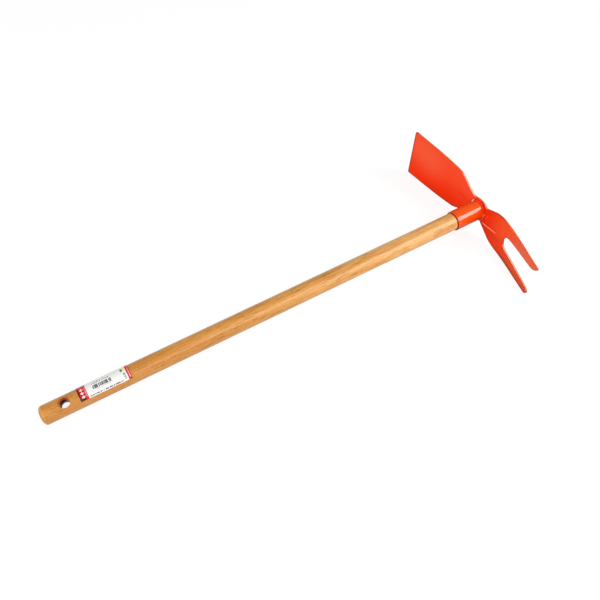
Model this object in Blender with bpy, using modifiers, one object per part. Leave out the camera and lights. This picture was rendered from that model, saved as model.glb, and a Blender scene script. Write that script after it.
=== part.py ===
"""Combination hoe: a flat hoe blade and a two-pronged fork pressed from one steel plate,
welded to a socket tube on a turned wooden handle.

Tool frame, before the tool is laid down: the axis of the handle is X, pointing at the head,
with x = 0 at the far end of the socket tube. The blade points to +Y, the fork to -Y, and the
width of the blade lies along Z. The whole tool is then laid on its side on the plane z = 0.
"""

import math

import bmesh
import bpy
from mathutils import Matrix, Vector

MM = 0.001

# Clearance left between neighbouring pieces, so that their solids never touch.
FIT_GAP = 0.3 * MM

# Handle, turned from one piece of wood, slightly thicker at the head than at the butt. The end
# gap is the empty space past it in the socket tube.
HANDLE_EXPOSED = 571.7 * MM
HANDLE_END_GAP = 5.2 * MM
HANDLE_HEAD_RADIUS = 11.9 * MM
HANDLE_BUTT_RADIUS = 11.55 * MM
BUTT_ROUNDING = 5.0 * MM
BUTT_CROWN = 1.2 * MM
SEAT_CHAMFER = 1.2 * MM

# Hang hole through the handle, with a chamfer at each mouth.
HOLE_FROM_BUTT = 29.1 * MM
HOLE_RADIUS = 5.5 * MM
HOLE_CHAMFER = 1.8 * MM
HOLE_LEAN = math.radians(15.0)

# Socket tube, which takes the handle.
TUBE_LENGTH = 41.2 * MM
TUBE_RADIUS = 13.5 * MM
TUBE_WALL = 1.5 * MM

# Head plate: one steel sheet. Along the sheet, each pair gives a distance from the middle in
# millimetres and the slope there in degrees towards the handle. The root gap is the space that
# the weld bridges, between the rim of the tube and the plate.
PLATE_THICKNESS = 2.5 * MM
BLADE_SLOPES = ((0.0, 0.0), (11.4, 22.4), (17.0, -1.7), (57.0, 7.2))
FORK_SLOPES = ((0.0, 0.0), (11.4, 22.4), (17.0, 5.1), (43.0, 4.1), (71.0, 10.5), (95.0, 12.9))
ROOT_GAP = 0.9 * MM
SHEET_STEP = 2.0 * MM
SHEET_MARGIN = 6.0 * MM

# Outline of the plate, seen along the handle: reach from the handle's axis and half widths.
# The neck is wider than the socket tube by its margin on each side.
# Each pair of a flare gives a share of the way from the neck to the shoulder, and the share of
# the widening that is reached there.
BLADE_REACH = 135.3 * MM
BLADE_EDGE_HALF = 38.6 * MM
BLADE_SHOULDER = 45.0 * MM
BLADE_SHOULDER_HALF = 33.7 * MM
BLADE_CORNER = 1.5 * MM
NECK_MARGIN = 1.9 * MM
NECK_SPAN = 11.0 * MM
BLADE_FLARE = ((0.15, 0.13), (0.38, 0.34), (0.74, 0.77))
BLADE_BELLY = 1.4 * MM
FORK_REACH = 130.2 * MM
FORK_SHOULDER = 50.0 * MM
FORK_SHOULDER_HALF = 29.2 * MM
FORK_FLARE = ((0.13, 0.09), (0.38, 0.46), (0.67, 0.85))
PRONG_BELLY = 0.9 * MM
PRONG_TIP_CENTRE = 22.4 * MM
PRONG_TIP_RADIUS = 3.7 * MM
CROTCH_RADIUS = 12.0 * MM
CROTCH_CENTRE = 71.5 * MM

# Weld beads between the rim of the tube and the plate.
WELD_RADIUS = 1.5 * MM
WELD_HALF_ANGLE = math.radians(52.0)

# Paper label, wrapped part of the way round the handle.
LABEL_FROM_BUTT = 45.5 * MM
LABEL_LENGTH = 59.8 * MM
LABEL_WIDTH = 32.0 * MM
LABEL_THICKNESS = 0.2 * MM
LABEL_START_ANGLE = math.radians(53.0)

# Nail that holds the handle in the tube, on the side that the tool lies on.
NAIL_FROM_TUBE_END = 20.0 * MM
NAIL_HEAD_RADIUS = 3.0 * MM
NAIL_HEAD_THICKNESS = 1.0 * MM
NAIL_SHANK_RADIUS = 1.2 * MM
NAIL_LENGTH = 15.0 * MM

ROUND_STEPS = 64
SMALL_STEPS = 24

MOUTH_X = -TUBE_LENGTH
BUTT_X = MOUTH_X - HANDLE_EXPOSED
TUBE_BORE = TUBE_RADIUS - TUBE_WALL
SEAT_RADIUS = TUBE_BORE - FIT_GAP
NECK_HALF = TUBE_RADIUS + NECK_MARGIN


def clear_scene():
    for obj in list(bpy.data.objects):
        bpy.data.objects.remove(obj)


def new_collection(name):
    collection = bpy.data.collections.new(name)
    bpy.context.scene.collection.children.link(collection)
    return collection


def linear(value):
    """One sRGB channel from 0 to 255 as a linear value."""
    value /= 255.0
    return value / 12.92 if value <= 0.04045 else ((value + 0.055) / 1.055) ** 2.4


def new_material(name, rgb, roughness, metallic=0.0):
    material = bpy.data.materials.new(name)
    material.use_nodes = True
    shader = material.node_tree.nodes["Principled BSDF"]
    colour = (*(linear(channel) for channel in rgb), 1.0)
    shader.inputs["Base Color"].default_value = colour
    shader.inputs["Roughness"].default_value = roughness
    shader.inputs["Metallic"].default_value = metallic
    material.diffuse_color = colour
    return material


def place(obj, collection, parent, material=None):
    collection.objects.link(obj)
    obj.parent = parent
    if material:
        obj.data.materials.append(material)


def shade_round(obj):
    obj.data.shade_smooth()
    obj.data.set_sharp_from_angle(angle=math.radians(30.0))


def as_cutter(obj):
    obj.hide_render = True
    obj.display_type = "WIRE"


def turned(name, profile, steps, closed=False):
    """A solid turned about local Z from (radius, height) points, which run down its outer side."""
    mesh = bpy.data.meshes.new(name)
    edges = [(i, i + 1) for i in range(len(profile) - 1)]
    if closed:
        edges.append((len(profile) - 1, 0))
    mesh.from_pydata([(radius, 0.0, height) for radius, height in profile], edges, [])
    obj = bpy.data.objects.new(name, mesh)
    screw = obj.modifiers.new("turn", "SCREW")
    screw.axis = "Z"
    screw.angle = 2 * math.pi
    screw.steps = steps
    screw.render_steps = steps
    screw.use_merge_vertices = True
    screw.merge_threshold = 0.00001
    screw.use_smooth_shade = True
    return obj


def cut(obj, cutter, name, operation="DIFFERENCE"):
    boolean = obj.modifiers.new(name, "BOOLEAN")
    boolean.operation = operation
    boolean.solver = "EXACT"
    boolean.object = cutter


def along_x(x=0.0):
    """Local Z turned to point along +X of the tool, at the given x."""
    return Matrix.Translation((x, 0, 0)) @ Matrix.Rotation(math.pi / 2, 4, "Y")


def handle_radius(x):
    """Radius of the handle where it shows, tapering evenly from the tube's mouth to the butt."""
    share = (x - BUTT_X) / HANDLE_EXPOSED
    return HANDLE_BUTT_RADIUS + share * (HANDLE_HEAD_RADIUS - HANDLE_BUTT_RADIUS)


def slope_at(distance, slopes):
    """Slope in radians, read between the listed pairs and constant past the last."""
    for (start, low), (end, high) in zip(slopes, slopes[1:]):
        if distance <= end * MM:
            share = (distance / MM - start) / (end - start)
            return math.radians(low + share * (high - low))
    return math.radians(slopes[-1][1])


def bent_line(slopes, reach):
    """Points (x, y) of the sheet's inner face, from its middle out to past the reach."""
    points = [(0.0, 0.0)]
    while points[-1][1] < reach + SHEET_MARGIN:
        x, y = points[-1]
        slope = slope_at((len(points) - 0.5) * SHEET_STEP, slopes)
        points.append((x - math.sin(slope) * SHEET_STEP, y + math.cos(slope) * SHEET_STEP))
    return points


def height_on(points, y):
    """x of the line at y, and the slope of the stretch it falls on."""
    for (x0, y0), (x1, y1) in zip(points, points[1:]):
        if y <= y1:
            return x0 + (x1 - x0) * (y - y0) / (y1 - y0), math.atan2(x0 - x1, y1 - y0)
    return None


def inner_face():
    """The inner face's lines out to the blade and to the fork, a root gap clear of the tube's rim."""
    blade = bent_line(BLADE_SLOPES, BLADE_REACH)
    fork = bent_line(FORK_SLOPES, FORK_REACH)
    over_rim = [x for x, y in blade + fork if y < TUBE_RADIUS]
    over_rim += [height_on(line, TUBE_RADIUS)[0] for line in (blade, fork)]
    lift = ROOT_GAP - min(over_rim)
    blade = [(x + lift, y) for x, y in blade]
    fork = [(x + lift, y) for x, y in fork]
    return blade, fork


def build_handle(collection, cutters, parent):
    top = -HANDLE_END_GAP
    # A handle that is thicker than the bore keeps its shoulder clear of the tube's mouth.
    shoulder_gap = FIT_GAP if HANDLE_HEAD_RADIUS > TUBE_BORE else 0.0
    seat_start = MOUTH_X - shoulder_gap
    profile = [(0.0, top), (SEAT_RADIUS - SEAT_CHAMFER, top), (SEAT_RADIUS, top - SEAT_CHAMFER)]
    profile += [(SEAT_RADIUS, seat_start), (HANDLE_HEAD_RADIUS, seat_start - SEAT_CHAMFER)]
    for share in (0.25, 0.5, 0.75):
        x = MOUTH_X - share * HANDLE_EXPOSED
        profile.append((handle_radius(x), x))
    corner = HANDLE_BUTT_RADIUS - BUTT_ROUNDING
    for step in range(7):
        angle = math.radians(90.0 * step / 6)
        radius = corner + BUTT_ROUNDING * math.cos(angle)
        depth = BUTT_CROWN + BUTT_ROUNDING * (1 - math.sin(angle))
        profile.append((radius, BUTT_X + depth))
    share = 0.6
    profile.append((share * corner, BUTT_X + share**2 * BUTT_CROWN))
    profile.append((0.0, BUTT_X))
    wood = new_material("turned_beech", (228, 165, 98), 0.5)
    handle = turned("handle", profile, ROUND_STEPS)
    handle.matrix_local = along_x()
    place(handle, collection, parent, wood)

    centre_x = BUTT_X + HOLE_FROM_BUTT
    crest = handle_radius(centre_x)
    reach = crest + HOLE_CHAMFER
    wide = HOLE_RADIUS + 2 * HOLE_CHAMFER
    bore = [(0.0, reach), (wide, reach), (HOLE_RADIUS, crest - HOLE_CHAMFER)]
    bore += [(HOLE_RADIUS, HOLE_CHAMFER - crest), (wide, -reach), (0.0, -reach)]
    cutter = turned("hang_hole_cutter", bore, SMALL_STEPS + 8)
    cutter.matrix_local = Matrix.Translation((centre_x, 0, 0)) @ Matrix.Rotation(HOLE_LEAN, 4, "X")
    place(cutter, cutters, parent)
    as_cutter(cutter)
    cut(handle, cutter, "hang hole")
    return handle


def build_socket_tube(collection, parent):
    lip = 0.3 * MM
    profile = [(TUBE_BORE, 0.0), (TUBE_RADIUS - lip, 0.0), (TUBE_RADIUS, -lip)]
    profile += [(TUBE_RADIUS, MOUTH_X + lip), (TUBE_RADIUS - lip, MOUTH_X), (TUBE_BORE, MOUTH_X)]
    paint = new_material("orange_paint_tube", (250, 84, 24), 0.32)
    tube = turned("socket_tube", profile, ROUND_STEPS, closed=True)
    tube.matrix_local = along_x()
    place(tube, collection, parent, paint)
    return tube


def flared(flare, shoulder, shoulder_half):
    """(reach, half width) pairs from the end of the neck's straight stretch to the shoulder."""
    pairs = [(NECK_SPAN, NECK_HALF)]
    for way, widening in flare:
        reach = NECK_SPAN + way * (shoulder - NECK_SPAN)
        pairs.append((reach, NECK_HALF + widening * (shoulder_half - NECK_HALF)))
    pairs.append((shoulder, shoulder_half))
    return pairs


def half_outline():
    """(y, z, smooth) points of the blank for z > 0, from the blade's corner to the crotch."""
    corner = (1 - math.sin(math.pi / 4)) * BLADE_CORNER
    points = [
        (BLADE_REACH, BLADE_EDGE_HALF - BLADE_CORNER, False),
        (BLADE_REACH - corner, BLADE_EDGE_HALF - corner, True),
        (BLADE_REACH - BLADE_CORNER, BLADE_EDGE_HALF, False),
    ]
    middle_half = (BLADE_EDGE_HALF + BLADE_SHOULDER_HALF) / 2 + BLADE_BELLY
    points.append(((BLADE_REACH + BLADE_SHOULDER) / 2, middle_half, True))
    blade = flared(BLADE_FLARE, BLADE_SHOULDER, BLADE_SHOULDER_HALF)
    points += [(y, z, True) for y, z in reversed(blade)]
    points += [(-y, z, True) for y, z in flared(FORK_FLARE, FORK_SHOULDER, FORK_SHOULDER_HALF)]
    prong_outer = PRONG_TIP_CENTRE + PRONG_TIP_RADIUS
    tip_start = PRONG_TIP_RADIUS - FORK_REACH
    middle_half = (FORK_SHOULDER_HALF + prong_outer) / 2 + PRONG_BELLY
    points.append(((tip_start - FORK_SHOULDER) / 2, middle_half, True))
    for step in range(5):
        angle = math.pi * step / 4
        y = tip_start - PRONG_TIP_RADIUS * math.sin(angle)
        points.append((y, PRONG_TIP_CENTRE + PRONG_TIP_RADIUS * math.cos(angle), True))
    slot_middle = (CROTCH_RADIUS + PRONG_TIP_CENTRE - PRONG_TIP_RADIUS) / 2
    points.append(((tip_start - CROTCH_CENTRE) / 2, slot_middle, True))
    for step in range(4):
        angle = math.radians(22.5 * step)
        z = CROTCH_RADIUS * math.cos(angle)
        points.append((CROTCH_RADIUS * math.sin(angle) - CROTCH_CENTRE, z, True))
    return points


def build_blank(cutters, parent):
    """The flat outline of the plate as a thick slab, square to the handle's axis."""
    half = half_outline()
    crotch = [(CROTCH_RADIUS - CROTCH_CENTRE, 0.0, True)]
    mirrored = [(y, -z, smooth) for y, z, smooth in reversed(half)]
    outline = half + crotch + mirrored
    curve = bpy.data.curves.new("blank", "CURVE")
    curve.dimensions = "2D"
    curve.fill_mode = "BOTH"
    curve.resolution_u = 6
    curve.extrude = BLADE_REACH / 2
    spline = curve.splines.new("BEZIER")
    spline.bezier_points.add(len(outline) - 1)
    spline.use_cyclic_u = True
    for point, (y, z, smooth) in zip(spline.bezier_points, outline):
        point.co = (y, z, 0.0)
        point.handle_left_type = "AUTO" if smooth else "VECTOR"
        point.handle_right_type = point.handle_left_type
    flat = bpy.data.objects.new("blank_outline", curve)
    cutters.objects.link(flat)
    bpy.context.view_layer.update()
    graph = bpy.context.evaluated_depsgraph_get()
    mesh = bpy.data.meshes.new_from_object(flat.evaluated_get(graph))
    bpy.data.objects.remove(flat)
    bm = bmesh.new()
    bm.from_mesh(mesh)
    bmesh.ops.remove_doubles(bm, verts=bm.verts, dist=1e-6)
    bmesh.ops.recalc_face_normals(bm, faces=bm.faces)
    bm.to_mesh(mesh)
    bm.free()
    blank = bpy.data.objects.new("blank_cutter", mesh)
    # The outline's own x and y become the tool's y and z, and its thickness lies along x.
    blank.matrix_local = Matrix(((0, 0, 1, 0), (1, 0, 0, 0), (0, 1, 0, 0), (0, 0, 0, 1)))
    place(blank, cutters, parent)
    as_cutter(blank)
    return blank


def build_head_plate(collection, cutters, parent):
    """The bent sheet, trimmed to the outline of the blank."""
    blade, fork = inner_face()
    line = [(x, -y) for x, y in reversed(fork[1:])] + blade
    half_width = max(BLADE_EDGE_HALF, FORK_SHOULDER_HALF) + SHEET_MARGIN
    bm = bmesh.new()
    bmesh.ops.create_grid(bm, x_segments=len(line) - 1, y_segments=1, size=1.0)
    last = len(line) - 1
    for vert in bm.verts:
        x, y = line[round((vert.co.x + 1) / 2 * last)]
        vert.co = (x, y, math.copysign(half_width, vert.co.y))
    mesh = bpy.data.meshes.new("head_plate")
    bm.to_mesh(mesh)
    bm.free()
    plate = bpy.data.objects.new("head_plate", mesh)
    sheet = plate.modifiers.new("sheet", "SOLIDIFY")
    sheet.thickness = PLATE_THICKNESS
    sheet.offset = 1.0
    sheet.use_even_offset = True
    place(plate, collection, parent, new_material("orange_paint_plate", (238, 76, 36), 0.36))
    cut(plate, build_blank(cutters, parent), "trim to blank", "INTERSECT")
    shade_round(plate)
    return plate


def build_weld_bead(name, side, line, collection, parent):
    """A bead round the rim of the tube, on the blade side (side 1) or the fork side (side -1)."""
    curve = bpy.data.curves.new(name, "CURVE")
    curve.dimensions = "3D"
    curve.bevel_depth = WELD_RADIUS
    curve.bevel_resolution = 3
    curve.use_fill_caps = True
    spline = curve.splines.new("POLY")
    steps = 14
    spline.points.add(steps)
    ring = TUBE_RADIUS + FIT_GAP + WELD_RADIUS
    for step, point in enumerate(spline.points):
        angle = WELD_HALF_ANGLE * (2 * step / steps - 1)
        y = ring * math.cos(angle)
        face, slope = height_on(line, y)
        x = face - (FIT_GAP + WELD_RADIUS) / math.cos(slope)
        point.co = (x, side * y, ring * math.sin(angle), 1.0)
    bead = bpy.data.objects.new(name, curve)
    place(bead, collection, parent, new_material(name + "_paint", (244, 80, 38), 0.35))
    return bead


def build_label(collection, parent):
    """A thin curved sheet, which follows the taper of the handle."""
    segments = 28
    bm = bmesh.new()
    bmesh.ops.create_grid(bm, x_segments=4, y_segments=segments, size=1.0)
    start_x = BUTT_X + LABEL_FROM_BUTT
    wrap = LABEL_WIDTH / handle_radius(start_x + LABEL_LENGTH / 2)
    for vert in bm.verts:
        x = start_x + (vert.co.x + 1) / 2 * LABEL_LENGTH
        angle = LABEL_START_ANGLE - (vert.co.y + 1) / 2 * wrap
        radius = handle_radius(x) + FIT_GAP
        vert.co = (x, -radius * math.sin(angle), radius * math.cos(angle))
    bmesh.ops.recalc_face_normals(bm, faces=bm.faces)
    mesh = bpy.data.meshes.new("label")
    bm.to_mesh(mesh)
    bm.free()
    label = bpy.data.objects.new("label", mesh)
    # The thickness goes outwards, whichever way the grid's normals came out.
    outward = mesh.polygons[0].normal.dot(Vector((0.0, *mesh.polygons[0].center[1:])))
    sheet = label.modifiers.new("paper", "SOLIDIFY")
    sheet.thickness = LABEL_THICKNESS
    sheet.offset = 1.0 if outward > 0 else -1.0
    place(label, collection, parent, new_material("label_paper", (240, 236, 232), 0.45))
    label.data.shade_smooth()
    return label


def build_nail(collection, cutters, parent, handle, tube):
    """The nail, and the holes for it through the tube's wall and into the wood."""
    under = TUBE_RADIUS + FIT_GAP
    rim = 0.35 * NAIL_HEAD_THICKNESS
    crown = 0.85 * NAIL_HEAD_THICKNESS
    crown_radius = 0.6 * NAIL_HEAD_RADIUS
    tip = under - NAIL_LENGTH
    point = 2.5 * NAIL_SHANK_RADIUS
    profile = [(0.0, under + NAIL_HEAD_THICKNESS), (crown_radius, under + crown)]
    profile += [(NAIL_HEAD_RADIUS, under + rim), (NAIL_HEAD_RADIUS, under)]
    profile += [(NAIL_SHANK_RADIUS, under), (NAIL_SHANK_RADIUS, tip + point), (0.0, tip)]
    # Local Z is the way out of the tube, on the side that the tool lies on.
    where = Matrix.Translation((-NAIL_FROM_TUBE_END, 0, 0)) @ Matrix.Rotation(math.pi, 4, "X")
    nail = turned("socket_nail", profile, SMALL_STEPS)
    nail.matrix_local = where
    place(nail, collection, parent, new_material("zinc_nail", (176, 174, 170), 0.4, 1.0))

    hole = NAIL_SHANK_RADIUS + FIT_GAP
    bore = [(0.0, under + rim), (hole, under + rim), (hole, tip - FIT_GAP), (0.0, tip - FIT_GAP)]
    cutter = turned("nail_hole_cutter", bore, SMALL_STEPS)
    cutter.matrix_local = where
    place(cutter, cutters, parent)
    as_cutter(cutter)
    cut(tube, cutter, "nail hole")
    cut(handle, cutter, "nail hole")
    return nail


def surface_points(obj, graph):
    """The object's points in the tool frame."""
    evaluated = obj.evaluated_get(graph)
    mesh = evaluated.to_mesh()
    points = [obj.matrix_world @ vert.co for vert in mesh.vertices]
    evaluated.to_mesh_clear()
    return points


def lay_down(parent, plate, handle):
    """Turns the tool so that it lies on a blade corner, a prong and the rim of its butt.

    The plane through the three lowest points is found again as they change, and then the
    middle of the tool's box is set over the origin, with its lowest point at z = 0.
    """
    graph = bpy.context.evaluated_depsgraph_get()
    plate_points = surface_points(plate, graph)
    handle_points = surface_points(handle, graph)
    groups = [
        [point for point in plate_points if point.y > TUBE_RADIUS],
        [point for point in plate_points if point.y < -TUBE_RADIUS],
        [point for point in handle_points if point.x < MOUTH_X],
    ]
    up = Vector((0, 0, 1))
    for _ in range(8):
        blade, prong, butt = (min(group, key=up.dot) for group in groups)
        up = (blade - butt).cross(prong - butt).normalized()
        if up.z < 0:
            up.negate()
    ahead = Vector((1, 0, 0))
    ahead = (ahead - ahead.dot(up) * up).normalized()
    turn = Matrix((ahead, up.cross(ahead), up))
    placed = [turn @ point for point in plate_points + handle_points]
    low = Vector([min(point[i] for point in placed) for i in range(3)])
    high = Vector([max(point[i] for point in placed) for i in range(3)])
    shift = Vector((-(low.x + high.x) / 2, -(low.y + high.y) / 2, -low.z))
    parent.matrix_world = Matrix.Translation(shift) @ turn.to_4x4()


def main():
    clear_scene()
    collection = new_collection("combination_hoe")
    cutters = new_collection("cutters")
    parent = bpy.data.objects.new("combination_hoe_frame", None)
    collection.objects.link(parent)
    handle = build_handle(collection, cutters, parent)
    tube = build_socket_tube(collection, parent)
    plate = build_head_plate(collection, cutters, parent)
    blade, fork = inner_face()
    build_weld_bead("weld_bead_blade_side", 1, blade, collection, parent)
    build_weld_bead("weld_bead_fork_side", -1, fork, collection, parent)
    build_label(collection, parent)
    build_nail(collection, cutters, parent, handle, tube)
    bpy.context.view_layer.update()
    lay_down(parent, plate, handle)


main()
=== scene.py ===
import math

import bmesh
import bpy
import numpy as np
from mathutils import Matrix, Quaternion, Vector, noise


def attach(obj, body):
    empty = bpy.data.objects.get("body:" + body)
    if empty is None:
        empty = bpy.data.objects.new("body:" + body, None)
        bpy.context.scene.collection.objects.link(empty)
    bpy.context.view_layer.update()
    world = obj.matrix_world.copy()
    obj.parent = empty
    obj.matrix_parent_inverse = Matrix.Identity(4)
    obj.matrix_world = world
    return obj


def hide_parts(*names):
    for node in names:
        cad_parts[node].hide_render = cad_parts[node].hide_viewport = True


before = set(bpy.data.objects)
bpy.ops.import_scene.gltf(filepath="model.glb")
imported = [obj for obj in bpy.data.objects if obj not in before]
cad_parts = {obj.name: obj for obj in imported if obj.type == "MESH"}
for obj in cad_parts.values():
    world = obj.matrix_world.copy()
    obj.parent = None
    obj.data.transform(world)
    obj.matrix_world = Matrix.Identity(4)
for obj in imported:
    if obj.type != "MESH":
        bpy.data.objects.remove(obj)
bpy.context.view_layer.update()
print("frame loaded:", ", ".join(sorted(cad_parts)))

# Sizes in the dictionaries are millimetres, angles are degrees and colours are sRGB from 0 to 255.
mm = 0.001
mergeWithin = 0.0005


# The tool's own frame: x along the handle with 0 at the far rim of the tube, y to the blade, z up.
# It is read off two flat CAD faces: the tube's far end and the blade's cutting edge.
def flatFaces(nodeName, towards, least):
    # The mean normal and middle of the faces that look that way; least is the smallest cosine that counts
    faces = [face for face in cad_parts[nodeName].data.polygons if face.normal.dot(towards) > least]
    area = sum(face.area for face in faces)
    normal = sum((face.normal * face.area for face in faces), Vector()) / area
    centre = sum((face.center * face.area for face in faces), Vector()) / area
    return normal.normalized(), centre


def toolFrame():
    alongHandle, rimCentre = flatFaces("socket_tube", Vector((1, 0, 0)), 0.99)
    toBlade = flatFaces("head_plate", Vector((0, 1, 0)), 0.998)[0]
    up = alongHandle.cross(toBlade).normalized()
    turn = Matrix((alongHandle, up.cross(alongHandle), up)).transposed()
    return Matrix.Translation(rimCentre) @ turn.to_4x4()


toolToFrame = toolFrame()
toolAlong, toolUp = toolToFrame.col[0].xyz, toolToFrame.col[2].xyz
print("tool frame origin:", [round(v, 4) for v in toolToFrame.translation])


# Shader and geometry-node sums

def operator(operation, swapped=False):
    # A method for one operator, or for its reflected form, which has its two values swapped
    def apply(self, other):
        return self.sum(operation, *((other, self) if swapped else (self, other)))
    return apply


class Wire:
    # One socket of a node tree, which adds, multiplies and compares like a number.
    def __init__(self, tree, socket=None):
        self.tree = tree
        self.socket = socket

    def node(self, kind, inputs=(), out=0, **settings):
        # The settings come first, then each input, by name or number, gets its value or its wire.
        made = self.tree.nodes.new(kind)
        for name, value in settings.items():
            if name == "stops":
                fillRamp(made.color_ramp, value)
            else:
                setattr(made, name, value)
        for key, value in dict(inputs).items():
            if isinstance(value, Wire):
                self.tree.links.new(value.socket, made.inputs[key])
            else:
                made.inputs[key].default_value = value
        return Wire(self.tree, made.outputs[out])

    def output(self, name):
        return Wire(self.tree, self.socket.node.outputs[name])

    def axis(self, name):
        return self.node("ShaderNodeSeparateXYZ", {"Vector": self}, name)

    def sum(self, operation, *values):
        return self.node("ShaderNodeMath", enumerate(values), operation=operation)

    def vector(self, operation, *others, out=0):
        return self.node("ShaderNodeVectorMath", enumerate((self, *others)), out, operation=operation)

    def mixed(self, mask, first, second):
        # Each colour is a wire or three sRGB numbers.
        first, second = (c if isinstance(c, Wire) else linear(c) for c in (first, second))
        return self.node("ShaderNodeMix", {0: mask, 6: first, 7: second}, 2, data_type="RGBA")

    def blend(self, mask, other):
        return self.mixed(mask, self, other)

    def ramp(self, low, high):
        # 0 short of low and 1 past high, where high may be the smaller
        return self.node("ShaderNodeMapRange", {0: self, 1: low, 2: high}, interpolation_type="SMOOTHSTEP")

    def larger(self, other):
        return self.sum("MAXIMUM", self, other)

    def sine(self):
        return self.sum("SINE", self)

    def __abs__(self):
        return self.sum("ABSOLUTE", self)

    def __neg__(self):
        return 0 - self

    __add__ = operator("ADD")
    __sub__, __rsub__ = operator("SUBTRACT"), operator("SUBTRACT", swapped=True)
    __mul__ = operator("MULTIPLY")
    __truediv__, __rtruediv__ = operator("DIVIDE"), operator("DIVIDE", swapped=True)
    __pow__ = operator("POWER")
    __gt__ = operator("GREATER_THAN")
    __lt__ = operator("LESS_THAN")
    __radd__ = __add__
    __rmul__ = __mul__


def fillRamp(colorRamp, stops):
    while len(colorRamp.elements) < len(stops):
        colorRamp.elements.new(1.0)
    for element, (position, colour) in zip(colorRamp.elements, stops):
        element.position = position
        element.color = colour


def linear(colour):
    parts = (c / 255 for c in colour)
    return (*(c / 12.92 if c <= 0.04045 else ((c + 0.055) / 1.055) ** 2.4 for c in parts), 1.0)


def newMaterial(name, fixed):
    # A Principled material: the fixed values go on its sockets, the wires are added by its maker.
    material = bpy.data.materials.new(name)
    material.use_nodes = True
    shader = material.node_tree.nodes["Principled BSDF"]
    for socketName, value in fixed.items():
        shader.inputs[socketName].default_value = value
    return material, Wire(material.node_tree), shader


def plug(shader, wires):
    for socketName, wire in wires.items():
        wire.tree.links.new(wire.socket, shader.inputs[socketName])


def toolPlace(start):
    # Where the point is in the tool's own frame, in millimetres
    place = start.node("ShaderNodeAttribute", out="Vector", attribute_name="toolPlace")
    return place.node("ShaderNodeVectorMath", {0: place, 3: 1 / mm}, operation="SCALE")


def stretched(place, along, across):
    return place.vector("MULTIPLY", (along, across, across))


def grainNoise(place, along, across, detail=2.0):
    inputs = {"Vector": stretched(place, along, across), "Scale": 1.0, "Detail": detail}
    return place.node("ShaderNodeTexNoise", inputs, "Fac")


def evenNoise(place, often):
    return grainNoise(place, often, often, 3.0)


def bumped(start, height, distance):
    return start.node("ShaderNodeBump", {"Strength": 1.0, "Distance": distance * mm, "Height": height})


# Mesh helpers

def newObject(name, data):
    made = bpy.data.objects.new(name, data)
    bpy.context.scene.collection.objects.link(made)
    return made


def meshPiece(name, points, faces):
    mesh = bpy.data.meshes.new(name)
    mesh.from_pydata([Vector(point) * mm for point in points], [], faces)
    mesh.shade_smooth()
    return newObject(name, mesh)


def facedOutwards(piece):
    bm = bmesh.new()
    bm.from_mesh(piece.data)
    bmesh.ops.remove_doubles(bm, verts=bm.verts, dist=mergeWithin * mm)
    bmesh.ops.recalc_face_normals(bm, faces=bm.faces)
    bm.to_mesh(piece.data)
    bm.free()


def addModifier(piece, name, kind, **settings):
    made = piece.modifiers.new(name, kind)
    for setting, value in settings.items():
        setattr(made, setting, value)
    return made


def madePlain(piece, sharpAngle=None):
    # Turns what the modifiers make into the piece's own mesh.
    bpy.context.view_layer.update()
    graph = bpy.context.evaluated_depsgraph_get()
    mesh = bpy.data.meshes.new_from_object(piece.evaluated_get(graph), preserve_all_data_layers=True,
                                           depsgraph=graph)
    piece.modifiers.clear()
    piece.data = mesh
    if sharpAngle:
        mesh.shade_smooth()
        mesh.set_sharp_from_angle(angle=math.radians(sharpAngle))
    return piece


def laidDown(piece, material, nodeName):
    # Keeps each point's place in the tool for the grain, then moves the mesh to where the tool lies.
    mesh = piece.data
    place = np.empty(len(mesh.vertices) * 3, np.float32)
    mesh.vertices.foreach_get("co", place)
    mesh.attributes.new("toolPlace", "FLOAT_VECTOR", "POINT").data.foreach_set("vector", place)
    mesh.transform(toolToFrame)
    mesh.materials.clear()
    mesh.materials.append(material)
    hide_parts(nodeName)
    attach(piece, "root")
    print(f"{nodeName}: {len(mesh.polygons)} faces")


def turned(name, profile, sides, closed=False):
    # A piece turned about the handle's axis from (x, radius) points. A radius of 0 is a pole.
    points, rows = [], []
    for x, radius in profile:
        if radius == 0:
            rows.append([len(points)] * sides)
            points.append((x, 0, 0))
            continue
        rows.append(list(range(len(points), len(points) + sides)))
        angles = [2 * math.pi * k / sides for k in range(sides)]
        points += [(x, radius * math.cos(a), radius * math.sin(a)) for a in angles]
    pairs = list(zip(rows, rows[1:])) + ([(rows[-1], rows[0])] if closed else [])
    faces = []
    for row, nextRow in pairs:
        for k in range(sides):
            ring = [row[k], row[(k + 1) % sides], nextRow[(k + 1) % sides], nextRow[k]]
            faces.append(list(dict.fromkeys(ring)))
    piece = meshPiece(name, points, faces)
    facedOutwards(piece)
    return piece


def roundCorner(x, radius, lip, startAngle, steps=4):
    # Points of a quarter circle inside a corner of a profile, whose centre is (x, radius)
    angles = [math.radians(startAngle + 90 * step / steps) for step in range(steps + 1)]
    return [(x + lip * math.cos(a), radius + lip * math.sin(a)) for a in angles]


def newTree(name, inputs):
    # A geometry-node tree with one shape as its output. Its inputs come by kind, and have the names that
    # they have in their piece's dictionary.
    tree = bpy.data.node_groups.new(name, "GeometryNodeTree")
    for kind, names in inputs.items():
        for socketName in names:
            tree.interface.new_socket(socketName, in_out="INPUT", socket_type="NodeSocket" + kind)
    tree.interface.new_socket("Geometry", in_out="OUTPUT", socket_type="NodeSocketGeometry")
    return Wire(tree).node("NodeGroupInput")


def endTree(given, shape):
    shape = shape.node("GeometryNodeRealizeInstances", {"Geometry": shape})
    inputs = {"Geometry": shape, "Material": given.output("material")}
    shape = shape.node("GeometryNodeSetMaterial", inputs)
    end = shape.tree.nodes.new("NodeGroupOutput")
    shape.tree.links.new(shape.socket, end.inputs[0])
    return shape.tree


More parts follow.
